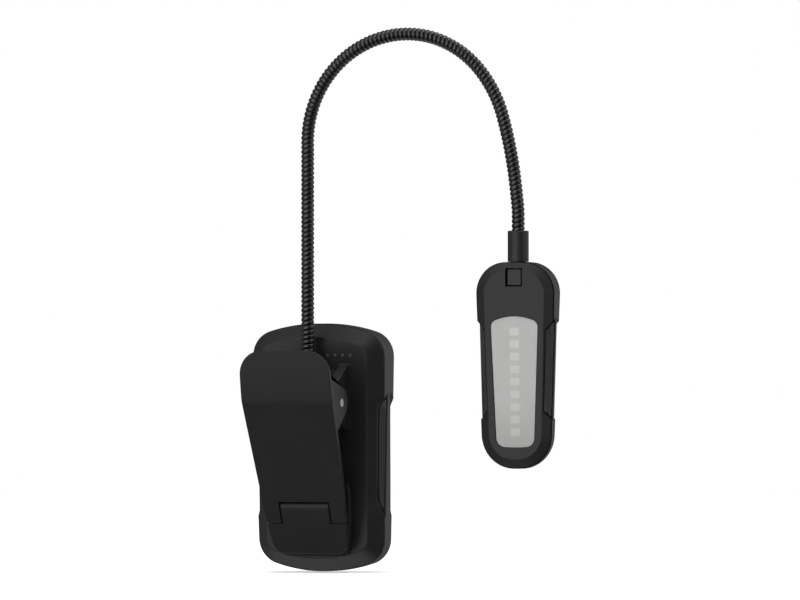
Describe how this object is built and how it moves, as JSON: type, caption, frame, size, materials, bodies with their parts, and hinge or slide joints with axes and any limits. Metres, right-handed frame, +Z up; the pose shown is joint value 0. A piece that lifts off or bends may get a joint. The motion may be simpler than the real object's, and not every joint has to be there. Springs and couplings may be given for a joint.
{
  "type": "clip-on book light",
  "caption": "Clip-on reading light: flat clip body with a sprung lever and hinged jaw foot, ribbed gooseneck, and a slim lamp head with an opal window.",
  "frame": {"origin": "middle of the rubber grip pad's face on the clip body, where the closed jaw meets it", "axes": "+X towards the lamp head, +Y from the jaw towards the clip body's back, +Z up along the gooseneck's first stretch"},
  "size_m": [0.1221, 0.0471, 0.1961],
  "materials": {
    "board_green": "green solder mask",
    "board_white": "white solder mask",
    "cell_foil": "pouch foil",
    "collar_black": "satin black",
    "grip_rubber": "matt rubber",
    "guide_clear": "clear light guide",
    "lead_jacket": "lead jacket",
    "led_face": "lamp phosphor",
    "lens_opal": "opal diffuser",
    "lever_black": "satin moulded black",
    "neck_black": "glossy black coated spiral",
    "pin_steel": "polished pin",
    "screw_black": "black oxide",
    "shell_black": "satin moulded black",
    "socket_steel": "folded steel",
    "spring_steel": "spring steel",
    "strip_black": "smooth black insert",
    "switch_black": "switch housing"
  },
  "bodies": {
    "clip_body": {"body_front_cover": "shell_black", "body_rear_shell": "shell_black", "body_grip_pad": "grip_rubber", "body_screws": "screw_black", "body_strip_front_left": "strip_black", "body_strip_front_right": "strip_black", "body_strip_rear_left": "strip_black", "body_strip_rear_right": "strip_black", "battery_cell": "cell_foil", "body_lead": "lead_jacket", "button_switch": "switch_black", "charging_socket": "socket_steel", "circuit_board": "board_green", "indicator_leds": "led_face", "indicator_light_guides": "guide_clear", "neck_ferrule": "collar_black", "neck_hose_01": "neck_black", "neck_lead_01": "lead_jacket", "torsion_spring": "spring_steel"},
    "button": {"power_button": "lever_black", "switch_plunger": "switch_black"},
    "lever": {"clip_lever": "lever_black", "clip_pivot_pin": "pin_steel", "jaw_foot_pin": "pin_steel"},
    "foot": {"jaw_foot": "lever_black", "jaw_grip": "grip_rubber"},
    "neck_2": {"neck_hose_02": "neck_black", "neck_lead_02": "lead_jacket"},
    "neck_3": {"neck_hose_03": "neck_black", "neck_lead_03": "lead_jacket"},
    "neck_4": {"neck_hose_04": "neck_black", "neck_lead_04": "lead_jacket"},
    "neck_5": {"neck_hose_05": "neck_black", "neck_lead_05": "lead_jacket"},
    "neck_6": {"neck_hose_06": "neck_black", "neck_lead_06": "lead_jacket"},
    "neck_7": {"neck_hose_07": "neck_black", "neck_lead_07": "lead_jacket"},
    "neck_8": {"neck_hose_08": "neck_black", "neck_lead_08": "lead_jacket"},
    "neck_9": {"neck_hose_09": "neck_black", "neck_lead_09": "lead_jacket"},
    "head": {"neck_hose_10": "neck_black", "neck_lead_10": "lead_jacket", "neck_collar": "collar_black", "head_front_frame": "shell_black", "head_rear_cover": "shell_black", "head_screws": "screw_black", "head_strip_front_left": "strip_black", "head_strip_front_right": "strip_black", "head_strip_rear_left": "strip_black", "head_strip_rear_right": "strip_black", "diffuser_lens": "lens_opal", "led_board": "board_white", "leds": "led_face", "head_lead": "lead_jacket"}
  },
  "joints": [
    {"name": "lever_hinge", "type": "hinge", "parent": "clip_body", "child": "lever", "pos_m": [0, -0.01592, 0.0441], "axis": [-1, 0, 0], "range_deg": [0, 30], "stiffness_Nm_per_rad": 0.25, "springref_deg": -34.38, "deforming": ["torsion_spring"]},
    {"name": "foot_hinge", "type": "hinge", "parent": "lever", "child": "foot", "pos_m": [0, -0.00808, 0.0065], "axis": [-1, 0, 0], "range_deg": [-15, 0]},
    {"name": "button_slide", "type": "slide", "parent": "clip_body", "child": "button", "axis": [0, -1, 0], "range_m": [0, 0.0005], "stiffness_N_per_m": 400},
    {"name": "neck_bend_1", "type": "hinge", "parent": "clip_body", "child": "neck_2", "pos_m": [0, -0.0072, 0.07041], "axis": [0, 1, 0], "range_deg": [-24, 24]},
    {"name": "neck_bend_2", "type": "hinge", "parent": "neck_2", "child": "neck_3", "pos_m": [0, -0.0072, 0.09562], "axis": [1, 0, 0], "range_deg": [-24, 24]},
    {"name": "neck_bend_3", "type": "hinge", "parent": "neck_3", "child": "neck_4", "pos_m": [0, -0.0072, 0.12083], "axis": [0, -1, 0], "range_deg": [-24, 24]},
    {"name": "neck_bend_4", "type": "hinge", "parent": "neck_4", "child": "neck_5", "pos_m": [0.00081, -0.0072, 0.14598], "axis": [-0.9788, 0, 0.2046], "range_deg": [-24, 24]},
    {"name": "neck_bend_5", "type": "hinge", "parent": "neck_5", "child": "neck_6", "pos_m": [0.01341, -0.0072, 0.1673], "axis": [0, 1, 0], "range_deg": [-24, 14]},
    {"name": "neck_bend_6", "type": "hinge", "parent": "neck_6", "child": "neck_7", "pos_m": [0.03638, -0.0072, 0.17654], "axis": [0.0551, 0, -0.9985], "range_deg": [-24, 24]},
    {"name": "neck_bend_7", "type": "hinge", "parent": "neck_7", "child": "neck_8", "pos_m": [0.06011, -0.0072, 0.16961], "axis": [0, -1, 0], "range_deg": [-14, 24]},
    {"name": "neck_bend_8", "type": "hinge", "parent": "neck_8", "child": "neck_9", "pos_m": [0.07473, -0.0072, 0.14954], "axis": [0.943, 0, 0.3328], "range_deg": [-24, 24]},
    {"name": "neck_bend_9", "type": "hinge", "parent": "neck_9", "child": "head", "pos_m": [0.0802, -0.0072, 0.12496], "axis": [0, 1, 0], "range_deg": [-24, 24]}
  ],
  "couplings": [
    {"joint": "foot_hinge", "follows": "lever_hinge", "ratio": -0.5}
  ]
}
